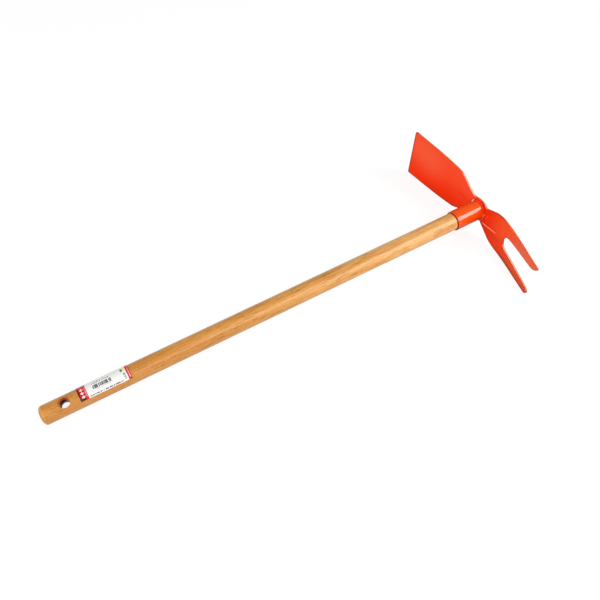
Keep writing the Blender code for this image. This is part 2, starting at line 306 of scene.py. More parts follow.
def shapedBy(piece, tree, values):
    # Runs the tree on a piece: each value goes to the input of that name by the input's identifier.
    nodes = addModifier(piece, tree.name, "NODES", node_group=tree)
    for item in tree.interface.items_tree:
        if item.in_out == "INPUT" and item.name in values:
            nodes[item.identifier] = values[item.name]
    madePlain(piece)


# Painted steel

paint = {
    "plateDeep": (242, 48, 5),
    # the blade's painted reflection, then painted shade for the blade's lower edge and the fork's upper
    # edge
    "plateReflection": (240, 88, 54),
    "plateLowShade": (204, 46, 8),
    # the fork: painted shade by the tube, painted reflection outwards, and the upper prong's pink is
    # painted reflection
    "forkRootShade": (228, 46, 2),
    "forkReflection": (234, 76, 36),
    "lowerProng": (222, 77, 37),
    "upperProng": (218, 96, 70),
    # painted shade along the rim and the fork's lower side
    "plateRimShade": (120, 30, 14),
    # painted highlights on the upper edges
    "topEdgeHighlight": (240, 104, 50),
    "neckEdgeHighlight": (255, 168, 138),
    "slotEdgeHighlight": (250, 172, 144),
    # a painted highlight on the fork's crease
    "ridgeHighlight": (255, 150, 116),
    "tube": (252, 86, 8),
    "tubeDeep": (240, 66, 4),
    # painted shade on the tube's lips and its lower side
    "tubeLipShade": (170, 44, 8),
    "tubeLowShade": (206, 44, 0),
    "weld": (230, 52, 8),
    # a painted highlight on the weld blobs, a painted glint on bare steel and a ring of painted shade
    # round it
    "weldHighlight": (255, 126, 92),
    "bareGlintSteel": (255, 205, 180),
    "shadeRing": (120, 30, 8),
    "coatRoughness": 0.07,
    "roughness": 0.32,
    "unevenGloss": 0.16,
    "orangePeel": 0.006,
    # how much the bare surface shines under the clear coat
    "plateShine": 0.02,
    "tubeShine": 0.1,
    "weldShine": 0.06,
    # painted reflection: a soft lighter patch on the blade: its centre, where it starts to fade and ends
    "reflectionSpot": (-3, 105, 8),
    "reflectionSpotReach": (6, 44),
    "reflectionSpotStrength": 0.44,
}


def enamelStart(name, shine, fixed=()):
    values = {"Coat Roughness": paint["coatRoughness"], "Specular IOR Level": shine, **dict(fixed)}
    material, start, shader = newMaterial(name, values)
    return material, start, shader, toolPlace(start)


def finishEnamel(shader, place, wires):
    # slightly uneven gloss, and the fine orange peel of sprayed enamel
    cloud = evenNoise(place, 0.035) - 0.5
    peel = grainNoise(place, 0.55, 0.55)
    plug(shader, {"Roughness": paint["roughness"] + cloud * paint["unevenGloss"],
                  "Normal": bumped(place, peel, paint["orangePeel"]), **wires})


def near(place, centre, inner, outer):
    # 1 within the inner distance of a point, 0 beyond the outer one
    return place.vector("DISTANCE", centre, out="Value").ramp(outer, inner)


def creaseLine(crease):
    # Where a straight crease starts in y and z, the way it runs and its length
    (y0, z0), (y1, z1) = crease["from"], crease["to"]
    length = math.hypot(y1 - y0, z1 - z0)
    return y0, z0, (y1 - y0) / length, (z1 - z0) / length, length


def creaseMasks(y, z, crease):
    # 1 on the crease's line, and 1 on the band beside it
    y0, z0, toY, toZ, length = creaseLine(crease)
    y, z = y - y0, z - z0
    along = y * toY + z * toZ
    aside = y * toZ - z * toY
    half, fade = crease["half"], crease["fade"]
    within = along.ramp(-fade, fade) * along.ramp(length, length - 2 * fade)
    line = abs(aside).ramp(half, half * 0.4) * within
    band = aside.ramp(0, half) * aside.ramp(crease["band"], half) * within
    return line, band


# Head plate: one sheet, bent along its length and trimmed to its outline

plate = {
    "thickness": 2.5,
    "rimRound": 0.5,
    "rimReach": 4.0,
    "rootGap": 0.9,
    "tubeRadius": 13.5,
    # distance along the sheet, slope there towards the handle
    "bladeBend": ((0, 0), (11.4, 22.4), (17, -1.7), (57, 7.2)),
    "forkBend": ((0, 0), (11.4, 22.4), (17, 5.1), (43, 4.1), (71, 10.5), (95, 12.9)),
    # distance from the handle's axis, half width there
    "bladeHalf": ((0, 15.4), (11, 15.4), (16.1, 17.8), (23.9, 21.6), (36.2, 29.5), (45, 33.7),
                  (90, 37.5), (133.8, 38.6)),
    "forkHalf": ((0, 15.4), (11, 15.4), (16.1, 16.6), (25.8, 21.8), (37.1, 27.1), (50, 29.2),
                 (88, 28.5), (126.5, 26.1)),
    "bladeReach": 135.3,
    "bladeCorner": 1.5,
    "crotchCentre": 71.5,
    "crotchRadius": 12.0,
    # each prong: how far it reaches, where its two edges would end, and how each corner is cut back:
    # the cut's length, its width and how suddenly it comes
    "upperProng": {"reach": 132.2, "inner": 18.8, "outer": 27.8,
                   "innerCut": (14, 8.0, 2.5), "outerCut": (1.2, 0.6, 2.4)},
    "lowerProng": {"reach": 131.3, "inner": 18.3, "outer": 26.2,
                   "innerCut": (5, 3.4, 2.4), "outerCut": (5, 3.8, 2.4)},
    # an upper edge within this half width, so far out and widening so much a millimetre, is the slot's
    "slotLine": {"half": 19.5, "out": 71.0, "widens": 0.05},
    # the slight waves of pressed sheet: height, length along y and z, and where they start and are full
    "waviness": 0.10,
    "waveLengths": (38, 30),
    "wavesFrom": (20, 50),
    "waveSeed": 3.7,
    # folds pressed in beside the tube: where they start and end, half width at each, depth and softness
    "forkFold": {"start": 12, "end": 49, "halfStart": 13.0, "halfEnd": 2.0, "depth": 0.22, "soft": 5.0},
    "bladeFold": {"start": 12, "end": 44, "halfStart": 7.5, "halfEnd": 9.5, "depth": 0.3, "soft": 3.0},
    # a raised crease on the fork and a shallow valley on the blade: ends as (y, z), half width, height
    "forkCrease": {"from": (-15.5, -11.2), "to": (-46.0, -2.4), "half": 1.35, "band": 9.0, "fade": 3.0,
                   "height": 0.45},
    "bladeCrease": {"from": (20.0, -2.6), "to": (46.0, 1.4), "half": 4.0, "band": 7.0, "fade": 6.0,
                    "height": -0.15},
}


def smoothThrough(pairs, values):
    # A shape-keeping cubic through the pairs, read at the values
    xs, ys = (np.array(column, float) for column in zip(*pairs))
    secant = np.diff(ys) / np.diff(xs)
    product, total = secant[1:] * secant[:-1], secant[1:] + secant[:-1]
    harmonic = np.where(product > 0, 2 * product / np.where(total == 0, 1, total), 0)
    slope = np.concatenate([[secant[0]], harmonic, [secant[-1]]])
    i = np.clip(np.searchsorted(xs, values) - 1, 0, len(xs) - 2)
    width = xs[i + 1] - xs[i]
    t = np.clip((values - xs[i]) / width, 0, 1)
    return (ys[i] * (1 + 2 * t) * (1 - t) ** 2 + ys[i + 1] * t**2 * (3 - 2 * t)
            + width * (slope[i] * t * (1 - t) ** 2 - slope[i + 1] * t**2 * (1 - t)))


def bentLine(bend, step=0.5):
    # (distance from the axis, x) of the sheet's inner face, from its middle outwards
    distances = np.arange(0, 150, step)
    slopes = np.radians(np.interp(distances[:-1] + step / 2, *zip(*bend)))
    x = np.concatenate([[0], -np.cumsum(np.sin(slopes)) * step])
    y = np.concatenate([[0], np.cumsum(np.cos(slopes)) * step])
    return y, x


bladeLine, forkLine = bentLine(plate["bladeBend"]), bentLine(plate["forkBend"])
overRim = min(np.interp(plate["tubeRadius"], *bladeLine), np.interp(plate["tubeRadius"], *forkLine))
sheetLift = plate["rootGap"] - overRim


def softStep(value):
    value = min(max(value, 0.0), 1.0)
    return value * value * (3 - 2 * value)


def folded(fold, reach, half):
    # How far a fold pushes the sheet away from the handle at one point
    along = (reach - fold["start"]) / (fold["end"] - fold["start"])
    if not 0 < along < 1:
        return 0.0
    edge = fold["halfStart"] + (fold["halfEnd"] - fold["halfStart"]) * along
    inside = softStep((edge - half) / fold["soft"] + 0.5)
    return fold["depth"] * inside * softStep(along * 4) * softStep((1 - along) * 2)


def creased(crease, y, z):
    # How far a crease lifts the sheet towards the handle at one point
    y0, z0, toY, toZ, length = creaseLine(crease)
    along = (y - y0) * toY + (z - z0) * toZ
    aside = abs((y - y0) * toZ - (z - z0) * toY)
    across = softStep(1 - aside / (1.6 * crease["half"]))
    ends = softStep(along / crease["fade"]) * softStep((length - along) / crease["fade"])
    return crease["height"] * across * ends


def sheetX(y, z):
    # x of the inner face, with its folds and the slight waves of pressed sheet
    x = np.interp(abs(y), *(bladeLine if y > 0 else forkLine)) + sheetLift
    x += folded(plate["bladeFold" if y > 0 else "forkFold"], abs(y), abs(z))
    x -= creased(plate["bladeCrease" if y > 0 else "forkCrease"], y, z)
    start, full = plate["wavesFrom"]
    lengthY, lengthZ = plate["waveLengths"]
    away = softStep((abs(y) - start) / (full - start))
    wave = noise.noise(Vector((y / lengthY, z / lengthZ, plate["waveSeed"])))
    return x + plate["waviness"] * away * wave


def prongLean(prong):
    # The angle of the prong's inner edge, which leaves the crotch's arc without a corner
    reach, inner = prong["reach"] - plate["crotchCentre"], prong["inner"]
    return math.atan2(inner, reach) - math.asin(plate["crotchRadius"] / math.hypot(reach, inner))


def plateRows(columns, slotColumns):
    # Rows of (y, z) from the cutting edge to the crotch, with the crotch's arc as the last row
    share = np.linspace(-1, 1, 2 * columns + 1)
    corner = plate["bladeCorner"]
    rows = []
    for angle in np.radians(np.linspace(90, 0, 5)):
        y = plate["bladeReach"] - corner + corner * math.sin(angle)
        half = plate["bladeHalf"][-1][1] - corner + corner * math.cos(angle)
        rows.append([(y, half * s) for s in share])
    bladeRows = np.linspace(plate["bladeReach"] - corner, 62, 42)[1:]
    neckRows, forkRows = np.linspace(60, 1, 75), np.linspace(0, -45, 58)
    straight = np.concatenate([bladeRows, neckRows, forkRows])
    for y in straight:
        pairs = plate["bladeHalf"] if y > 0 else plate["forkHalf"]
        half = smoothThrough(pairs, np.array([abs(y)]))[0]
        rows.append([(y, half * s) for s in share])
    # The last row runs along the crotch's arc and then straight out to the sides.
    centre, radius = -plate["crotchCentre"], plate["crotchRadius"]
    last = []
    for k in range(-columns, columns + 1):
        side = math.copysign(1, k)
        endAngle = math.pi / 2 - prongLean(plate["upperProng" if side > 0 else "lowerProng"])
        angle = endAngle * min(abs(k) / slotColumns, 1)
        y, half = centre + radius * math.cos(angle), radius * math.sin(angle)
        if abs(k) > slotColumns:
            sideHalf = smoothThrough(plate["forkHalf"], np.array([-y]))[0]
            half += (abs(k) - slotColumns) / (columns - slotColumns) * (sideHalf - half)
        last.append((y, side * half))
    steps = 24
    for step in range(1, steps + 1):
        row = []
        for s, (endY, endZ) in zip(share, last):
            y = straight[-1] + (endY - straight[-1]) * step / steps
            half, endHalf = smoothThrough(plate["forkHalf"], np.array([-y, -endY]))
            row.append((y, half * (s + (endZ / endHalf - s) * step / steps)))
        rows.append(row)
    return rows


def cutBack(cut, reach, y):
    # How far a prong's edge comes in at y, where its corner is cut back
    length, width, suddenness = cut
    return width * min(max((y - reach + length) / length, 0), 1) ** suddenness


def prongRows(side, prong, columns):
    # Rows of one prong from beside the crotch to its end, from the slot outwards
    lean, reach = prongLean(prong), prong["reach"]
    start = plate["crotchCentre"] - plate["crotchRadius"] * math.sin(lean)
    startHalf = plate["crotchRadius"] * math.cos(lean)
    drawnTo, drawnHalf = plate["forkHalf"][-1]
    longest = max(prong["innerCut"][0], prong["outerCut"][0])
    places = list(np.linspace(start, reach - longest, 32)[1:])
    places += [reach - longest * (1 - math.sin(angle)) for angle in np.radians(np.linspace(0, 90, 15)[1:])]
    rows = []
    for y in places:
        along = (y - start) / (reach - start)
        outer = smoothThrough(plate["forkHalf"], np.array([start + along * (drawnTo - start)]))[0]
        outer += along**3 * (prong["outer"] - drawnHalf) - cutBack(prong["outerCut"], reach, y)
        inner = startHalf + (y - start) * math.tan(lean) + cutBack(prong["innerCut"], reach, y)
        rows.append([(-y, side * (inner + (outer - inner) * k / columns)) for k in range(columns + 1)])
    return rows


def makePlate(material):
    columns, slotColumns = 34, 15
    places = {}

    def corner(y, z):
        key = (round(y, 4), round(z, 4))
        return places.setdefault(key, len(places))

    grids = [plateRows(columns, slotColumns)]
    crotchRow = grids[0][-1]
    for side, prong in ((1, plate["upperProng"]), (-1, plate["lowerProng"])):
        start = crotchRow[columns + slotColumns:] if side > 0 else crotchRow[columns - slotColumns::-1]
        grids.append([start] + prongRows(side, prong, columns - slotColumns))
    faces = []
    for grid in grids:
        numbers = [[corner(y, z) for y, z in row] for row in grid]
        for row, nextRow in zip(numbers, numbers[1:]):
            faces += [[row[k], row[k + 1], nextRow[k + 1], nextRow[k]] for k in range(len(row) - 1)]
    points = [(sheetX(y, z), y, z) for y, z in places]
    piece = meshPiece("forgedHead", points, faces)
    bm = bmesh.new()
    bm.from_mesh(piece.data)
    bmesh.ops.recalc_face_normals(bm, faces=bm.faces)
    if sum(face.normal.x * face.calc_area() for face in bm.faces) < 0:
        bmesh.ops.reverse_faces(bm, faces=bm.faces)
    bm.to_mesh(piece.data)
    # How near each point is to the rim, for the painted shade along it
    bm.verts.ensure_lookup_table()
    rimPoints = np.array([vert.co for vert in bm.verts if vert.is_boundary])
    everyPoint = np.array([vert.co for vert in bm.verts])
    bm.free()
    gap = np.array([np.min(np.linalg.norm(rimPoints - point, axis=1)) for point in everyPoint])
    rimShare = np.clip(1 - gap / (plate["rimReach"] * mm), 0, 1).astype(np.float32)
    piece.data.attributes.new("rimShare", "FLOAT", "POINT").data.foreach_set("value", rimShare)
    addModifier(piece, "thickness", "SOLIDIFY", thickness=plate["thickness"] * mm, offset=1.0,
                use_even_offset=True)
    addModifier(piece, "rounded rim", "BEVEL", width=plate["rimRound"] * mm, segments=3,
                limit_method="ANGLE", angle_limit=math.radians(50))
    madePlain(piece, sharpAngle=60)
    laidDown(piece, material, "head_plate")


# Each part of the plate's colour and coat, most of it painted light and shade: how strong it is, and its
# limits along y to the blade, z up, out from the handle, in nearness to the rim or in the way that the
# sheet faces. Each pair of limits goes from where the part is nothing to where it is full.
plateFields = {
    "bladeReflectionUp": (0.52, ("z", -30, 22)),
    "bladeEndReflection": (0.12, ("y", 108, 132)),
    "bladeLowShade": (0.6, ("z", -20, -36), ("y", 112, 80)),
    "forkUpperReflection": (0.5, ("z", -9, -2)),
    "forkOutReflection": (1.0, ("out", 20, 58)),
    "forkLowShade": (0.38, ("z", -19, -27), ("out", 40, 70)),
    "lowerProng": (1.0, ("out", 60, 84), ("z", 1, -1)),
    "upperProng": (1.0, ("out", 60, 104), ("z", -1, 1)),
    "bladeSide": (1.0, ("y", -6, 6)),
    "lowRimShade": (0.75, ("rim", 0.45, 0.80), ("z", -10, -14)),
    "endRimShade": (0.75, ("rim", 0.45, 0.80), ("y", 130, 133)),
    "highRimShade": (0.4125, ("rim", 0.78, 0.96)),
    "topEdgeHighlight": (0.85, ("facingUp", 0.45, 0.75)),
    "topEdgeCoat": (0.2, ("facingUp", 0.45, 0.75)),
    "bladeNeckHighlight": (1.0, ("y", 9, 15), ("y", 48, 36)),
    "forkNeckHighlight": (1.0, ("y", -6, -9), ("y", -18, -15)),
    "forkShade": (0.8, ("y", -16, -20), ("y", -58, -42)),
    "slot": (1.0, ("y", -56, -60)),
    "slotEnd": (0.65, ("out", 84, 122)),
    "outerFace": (0.65, ("facingOut", 0.2, 0.6)),
}


def plateMaterial():
    material, start, shader, place = enamelStart("plateEnamel", paint["plateShine"])
    y, z = place.axis("Y"), place.axis("Z")
    normal = start.node("ShaderNodeNewGeometry", out="Normal")
    axes = {"y": y, "z": z, "out": abs(y),
            "rim": start.node("ShaderNodeAttribute", out="Fac", attribute_name="rimShare"),
            "facingUp": normal.vector("DOT_PRODUCT", toolUp, out="Value"),
            "facingOut": normal.vector("DOT_PRODUCT", toolAlong, out="Value")}

    def field(name):
        mask, *limits = plateFields[name]
        for axis, low, high in limits:
            mask = axes[axis].ramp(low, high) * mask
        return mask

    cloud = (evenNoise(place, 0.022) - 0.5) * 0.2
    # blade: painted reflection lighter upwards and in one soft patch, painted shade along its lower edge
    patch = near(place, paint["reflectionSpot"], *paint["reflectionSpotReach"])
    light = field("bladeReflectionUp") + patch * paint["reflectionSpotStrength"] + field("bladeEndReflection") + cloud
    blade = start.mixed(light, paint["plateDeep"], paint["plateReflection"])
    blade = blade.blend(field("bladeLowShade"), paint["plateLowShade"])
    # painted shade along the shallow valley on the blade
    valleyShade = creaseMasks(y, z, plate["bladeCrease"])[0]
    blade = blade.blend(valleyShade * 0.55, paint["plateDeep"])
    # fork: painted shade by the tube, painted reflection outwards and on the pinker upper prong, a browner
    # lower prong
    light = field("forkOutReflection") * (field("forkUpperReflection") + 0.5) + cloud
    fork = start.mixed(light, paint["forkRootShade"], paint["forkReflection"])
    fork = fork.blend(field("lowerProng"), paint["lowerProng"])
    fork = fork.blend(field("upperProng"), paint["upperProng"])
    # painted shade along the fork's lower side
    fork = fork.blend(field("forkLowShade"), paint["plateRimShade"])
    # a painted highlight on the crease on the fork, and painted shade on the sheet beside it
    ridgeHighlight, shadeBesideRidge = creaseMasks(y, z, plate["forkCrease"])
    fork = fork.blend(shadeBesideRidge * 0.6, paint["forkRootShade"])
    fork = fork.blend(ridgeHighlight * 0.85, paint["ridgeHighlight"])
    look = fork.blend(field("bladeSide"), blade)
    # painted shade: a thin dark line along the rim, plainest along the lower edges and the cutting edge
    rim = field("lowRimShade").larger(field("endRimShade")).larger(field("highRimShade"))
    look = look.blend(rim, paint["plateRimShade"])
    # painted highlights on the sheet's upper edges, most beside the neck and on the slot's lower side,
    # with painted shade further out on the fork
    edge = start.mixed(field("bladeNeckHighlight") + field("forkNeckHighlight"), paint["topEdgeHighlight"], paint["neckEdgeHighlight"])
    edge = edge.blend(field("forkShade"), paint["plateLowShade"])
    line = plate["slotLine"]
    slotHalf = (abs(y) - line["out"]) * line["widens"] + line["half"]
    slot = field("slot") * (abs(z) < slotHalf) * (1 - field("slotEnd"))
    edge = edge.blend(slot, paint["slotEdgeHighlight"])
    look = look.blend(field("topEdgeHighlight"), edge)
    # the outer face keeps its full gloss, and the inner one is rubbed duller
    coat = field("outerFace") + field("topEdgeCoat")
    finishEnamel(shader, place, {"Base Color": look, "Coat Weight": coat})
    return material


makePlate(plateMaterial())


# Socket tube: drawn tube with rounded lips and a coat of enamel that isn't quite even

tube = {
    "length": 41.2,
    "radius": 13.5,
    "wall": 1.5,
    "lip": 0.5,
    "unevenness": 0.05,
    "waveLength": 14,
    "wavesRound": 2,
    # how far from its far rim and from its mouth the painted shade on the lips starts and is full
    "rimLip": (0.9, 0.1),
    "mouthLip": (0.6, 0.1),
    # the duller lower side: where its painted shade starts and is full, and the same for the clear coat
    "lowShade": (2.5, -3.0),
    "lowCoat": (0, 4),
}


def makeTube(material):
    length, radius, lip = tube["length"], tube["radius"], tube["lip"]
    bore = radius - tube["wall"]
    outerRows, innerRows = 30, 8
    profile = [(-lip - (length - 2 * lip) * k / outerRows, radius) for k in range(1, outerRows)]
    profile += roundCorner(lip - length, radius - lip, lip, 90)
    profile += roundCorner(lip - length, bore + lip, lip, 180)
    profile += [(-lip - (length - 2 * lip) * k / innerRows, bore) for k in range(innerRows - 1, 0, -1)]
    profile += roundCorner(-lip, bore + lip, lip, 270)
    profile += roundCorner(-lip, radius - lip, lip, 0)
    piece = turned("socketSleeve", profile, sides=128, closed=True)
    for vert in piece.data.vertices:
        out = Vector((0, vert.co.y, vert.co.z))
        if out.length > (radius - 0.01) * mm:
            out.normalize()
            around = out * tube["wavesRound"]
            spot = Vector((vert.co.x / mm / tube["waveLength"], around.y, around.z))
            vert.co += out * tube["unevenness"] * mm * noise.noise(spot)
    laidDown(piece, material, "socket_tube")


def tubeMaterial():
    fixed = {"Coat IOR": 1.53, "Coat Roughness": 0.09}
    material, start, shader, place = enamelStart("sleeveEnamel", paint["tubeShine"], fixed)
    x, z = place.axis("X"), place.axis("Z")
    cloud = evenNoise(place, 0.05)
    look = start.mixed(cloud.ramp(0.4, 0.75) * 0.5, paint["tube"], paint["tubeDeep"])
    # painted shade on the two lips
    rimLip, mouthLip = -x, x + tube["length"]
    lipShade = rimLip.ramp(*tube["rimLip"]) + mouthLip.ramp(*tube["mouthLip"])
    look = look.blend(lipShade * 0.6, paint["tubeLipShade"])
    # painted shade deepens the lower side, which is also rubbed duller
    look = look.blend(z.ramp(*tube["lowShade"]) * 0.6, paint["tubeLowShade"])
    coat = 0.03 + z.ramp(*tube["lowCoat"]) * 0.97
    finishEnamel(shader, place, {"Base Color": look, "Coat Weight": coat})
    return material


makeTube(tubeMaterial())


# Weld beads between the tube's rim and the plate, with blobs where the torch paused

weld = {
    "radius": 1.5,
    "ringRadius": 14.3,
    # under the neck, past this angle, the bead is drawn in and swells to fill the wider gap there
    "neckAngle": 45,
    "drawnIn": 1.5,
    "endSwell": 0.35,
    "ripples": 23.0,
    "rippleDepth": 0.15,
    "flatness": 0.62,
    "unevenBlobs": 0.2,
    "seed": 5,
    "fuse": 0.26,
    # angle from the bead's middle, distance out from the ring, x from the sheet, size
    "forkBlobs": ((23, -0.2, -4.0, 1.4), (18, 1.9, -1.2, 1.9), (7, 6.2, -0.3, 1.5), (16, 7.3, -0.3, 1.3),
                  (4, 0.6, -2.0, 1.5), (-14, 1.4, -1.0, 1.3), (-40, 0.6, -1.0, 1.5)),
    "bladeBlobs": ((31, -0.3, -1.7, 1.2), (39, -0.1, -1.9, 1.3), (47, 0.4, -1.9, 1.15),
                   (-12, 0.2, -1.0, 1.4), (-46, 0.4, -1.0, 1.5)),
    # where the painted highlight on top of a blob by the fork starts to fade, and the share of its size
    # where it ends
    "paleTop": (0.4, 0.95),
    # how many of the blobs by the blade are bare steel with a painted glint, and where the glint and its
    # ring of painted shade fade out
    "bareBlobs": 3,
    "bareReach": (0.9, 1.3),
    "burntReach": (1.4, 2.0),
    # the way that the blobs' flat tops face
    "facing": (-0.15, -0.50, 0.85),
}


def beadTree():
    sizes = ("radius", "ripples", "rippleDepth", "endSwell", "unevenBlobs", "flatness")
    given = newTree("rippledBead", {"Geometry": ("path and blobs",), "Float": sizes, "Vector": ("facing",),
                                    "Int": ("seed",), "Material": ("material",)})
    radius, ripples, rippleDepth, endSwell, unevenness, flatness = (given.output(name) for name in sizes)
    # the bead: a tube along the path whose radius goes up and down and grows towards both ends
    path = given.node("GeometryNodeMeshToCurve", {"Mesh": given})
    path = given.node("GeometryNodeResampleCurve", {"Curve": path, "Count": 150})
    way = given.node("GeometryNodeSplineParameter", out="Factor")
    swell = (way * ripples * (2 * math.pi)).sine() * rippleDepth
    towardsEnd = (1 - (way * math.pi).sine()) * endSwell
    thickness = radius * (1 + swell) * (1 + towardsEnd)
    ring = given.node("GeometryNodeCurvePrimitiveCircle", {"Resolution": 14, "Radius": 1.0})
    tubing = {"Curve": path, "Profile Curve": ring, "Scale": thickness, "Fill Caps": True}
    bead = given.node("GeometryNodeCurveToMesh", tubing)
    # the blobs: one on each loose point, sized by the point
    size = given.node("GeometryNodeInputNamedAttribute", {"Name": "blobSize"}, data_type="FLOAT")
    points = given.node("GeometryNodeMeshToPoints", {"Mesh": given, "Selection": size > 0.0})
    ball = given.node("GeometryNodeMeshIcoSphere", {"Radius": 1.0, "Subdivisions": 3})
    # 2 and 3 are the least and the most; other kinds of random value have sockets of the same names
    limits = {2: 1 - unevenness, 3: 1.0, "Seed": given.output("seed")}
    random = given.node("FunctionNodeRandomValue", limits, 1, data_type="FLOAT")
    squat = given.node("ShaderNodeCombineXYZ", {"X": size * random, "Y": size, "Z": size * flatness})
    facing = given.node("FunctionNodeAlignRotationToVector", {"Vector": given.output("facing")}, axis="Z")
    placing = {"Points": points, "Instance": ball, "Rotation": facing, "Scale": squat}
    blobs = given.node("GeometryNodeInstanceOnPoints", placing)
    both = given.node("GeometryNodeJoinGeometry", {"Geometry": bead})
    both.tree.links.new(blobs.socket, both.socket.node.inputs[0])
    return endTree(given, both)


def onRing(side, angle, out, x):
    # A point beside the tube's rim, in millimetres
    reach = weld["ringRadius"] + out
    y, z = side * reach * math.cos(math.radians(angle)), reach * math.sin(math.radians(angle))
    return Vector((sheetX(y, z) + x, y, z))


def beadPoint(side, angle):
    # The bead's middle: on the sheet beside the tube, and halfway from the rim to the sheet under the neck
    underNeck = softStep((abs(angle) - weld["neckAngle"]) / (90 - weld["neckAngle"]))
    point = onRing(side, angle, -weld["drawnIn"] * underNeck, 0)
    point.x -= max(0.75 * weld["radius"], point.x / 2)
    return point


def makeWeld(name, nodeName, side, blobs, tree, material):
    steps = 60
    points = [beadPoint(side, 180 * step / steps - 90) * mm for step in range(steps + 1)]
    points += [onRing(side, *blob[:3]) * mm for blob in blobs]
    mesh = bpy.data.meshes.new(name)
    mesh.from_pydata(points, [(step, step + 1) for step in range(steps)], [])
    sizes = [0.0] * (steps + 1) + [blob[3] * mm for blob in blobs]
    mesh.attributes.new("blobSize", "FLOAT", "POINT").data.foreach_set("value", sizes)
    piece = newObject(name, mesh)
    shapedBy(piece, tree, {**weld, "radius": weld["radius"] * mm, "material": material})
    addModifier(piece, "fused", "REMESH", mode="VOXEL", voxel_size=weld["fuse"] * mm,
                use_smooth_shade=True)
    addModifier(piece, "softened", "SMOOTH", factor=0.5, iterations=3)
    madePlain(piece)
    laidDown(piece, material, nodeName)


def weldMaterial():
    material, start, shader, place = enamelStart("weldEnamel", paint["weldShine"], {"Coat Weight": 0.15})
    cloud = evenNoise(place, 0.12)
    look = start.mixed(cloud.ramp(0.35, 0.7) * 0.6, paint["weld"], paint["plateDeep"])
    # painted highlights on the blobs by the fork; some blobs by the blade are slightly metallic bare
    # steel, their pale colour a painted glint ringed by painted shade
    top = Vector(weld["facing"]).normalized() * weld["flatness"]
    highlightFrom, highlightShare = weld["paleTop"]
    for blob in weld["forkBlobs"]:
        spot = onRing(-1, *blob[:3]) + top * blob[3]
        look = look.blend(near(place, spot, highlightFrom, highlightShare * blob[3]) * 0.85, paint["weldHighlight"])
    bareGlint = shadeRing = 0.0
    for blob in weld["bladeBlobs"][:weld["bareBlobs"]]:
        spot = onRing(1, *blob[:3]) + top * blob[3]
        bareGlint = near(place, spot, *weld["bareReach"]).larger(bareGlint)
        shadeRing = near(place, spot, *weld["burntReach"]).larger(shadeRing)
    look = look.blend(shadeRing, paint["shadeRing"])
    look = look.blend(bareGlint, paint["bareGlintSteel"])
    finishEnamel(shader, place, {"Base Color": look, "Metallic": bareGlint * 0.15})
    return material


weldPaint = weldMaterial()
weldTree = beadTree()
makeWeld("beadByBlade", "weld_bead_blade_side", 1, weld["bladeBlobs"], weldTree, weldPaint)
makeWeld("beadByFork", "weld_bead_fork_side", -1, weld["forkBlobs"], weldTree, weldPaint)


# Handle: turned beech with a domed butt and a flared hang hole

handle = {
    "exposed": 571.7,
    # how far it goes into the tube, short of the tube's far rim
    "seatLength": tube["length"] - 5.2,
    "headRadius": 11.9,
    "buttRadius": 11.55,
    "seatRadius": 11.7,
    "dome": 5.6,
    "domePower": 2.45,
    "rings": 220,
    "sides": 128,
    "holeFromButt": 29.1,
    "holeRadius": 5.5,
    # each mouth's flare: its width, how far from the handle's middle it starts and its depth
    "holeMouth": (3.9, 4.5, 7.3),
    "holeBack": (2.4, 9.6, 2.4),
    # the share of its width that the upper mouth's flare keeps on its lower side
    "mouthLowSide": 0.05,
    "holeLean": 15,
    # above 1 the turned rings are closer together at the butt than at the head
    "crowding": 1.8,
}
handleLengths = ("exposed", "seatLength", "headRadius", "buttRadius", "seatRadius", "dome")
mouthX = -tube["length"]
buttX = mouthX - handle["exposed"]

wood = {
    "butt": (216, 148, 70),
    "middle": (226, 160, 80),
    "head": (240, 182, 108),
    "deep": (196, 120, 44),
    "olive": (204, 148, 58),
    "line": (142, 78, 30),
    "dash": (88, 44, 20),
    # painted highlights in the grain
    "glint": (252, 214, 160),
    "mouthRing": (235, 140, 66),
    # painted shade in the bore, and painted light on its upper wall by the mouth
    "bore": (96, 30, 2),
    "boreTopLit": (188, 98, 40),
    # how far from the handle's middle the painted shade in the bore is darkest, and where it is as pale as
    # its mouth
    "boreShadeDepth": (2.5, 10.3),
    # how far past the bore the orange ring fades and ends, and where the hole's upper side and its side
    # towards the head start and are full
    "ringReach": (1.6, 3.0),
    "upperSide": (-2, 4),
    "headSide": (0.5, 5.5),
    # painted shade where the wood enters the tube, then the butt's darker end grain, partly painted shade
    "mouthShade": (60, 26, 10),
    "endGrainAndShade": (152, 98, 40),
    # how far from the butt the darker end grain and its painted shade fade and end, and from the tube the
    # painted shade starts and is full
    "endGrainAndShadeReach": (0.2, 4.0),
    "mouthShadeReach": (1.7, 0.5),
    # how far from the butt the middle's colour is full and the head's starts, and from the tube where the
    # head's is full
    "middleAt": 330,
    "headFrom": 210,
    "headAt": 60,
    "ringSpacing": 3.6,
    "pith": (0, 46, -38),
    # the grain's noises: how often each changes along and across the handle, its detail, and where it
    # starts to show and is full
    "noises": {
        "patches": (0.011, 0.08, 2.0, 0.40, 0.70),
        "bands": (0.03, 0.13, 2.0, 0.50, 0.68),
        "streaks": (0.022, 0.42, 3.0, 0.48, 0.78),
        "fibres": (0.07, 1.5, 3.0, 0.52, 0.86),
        "fineFibres": (0.16, 7.0, 2.0, 0.55, 0.9),
        "ticks": (0.05, 0.75, 2.0, 0.56, 0.72),
        "places": (0.01, 0.05, 1.0, 0.4, 0.6),
        "dashes": (0.055, 0.7, 1.0, 0.63, 0.70),
        "glints": (0.22, 1.2, 2.0, 0.62, 0.74),
    },
    # what is laid on the wood's own colour, in this order, how strongly and in which colour; the glints
    # are painted highlights
    "layers": (("patches", 0.45, "deep"), ("bands", 0.5, "olive"), ("rings", 0.22, "deep"),
               ("streaks", 0.62, "deep"), ("fibres", 0.42, "line"), ("fineFibres", 0.25, "line"),
               ("ticks", 0.5, "line"), ("flecks", 0.5, "line"), ("dashes", 0.6, "dash"),
               ("glints", 0.42, "glint")),
}


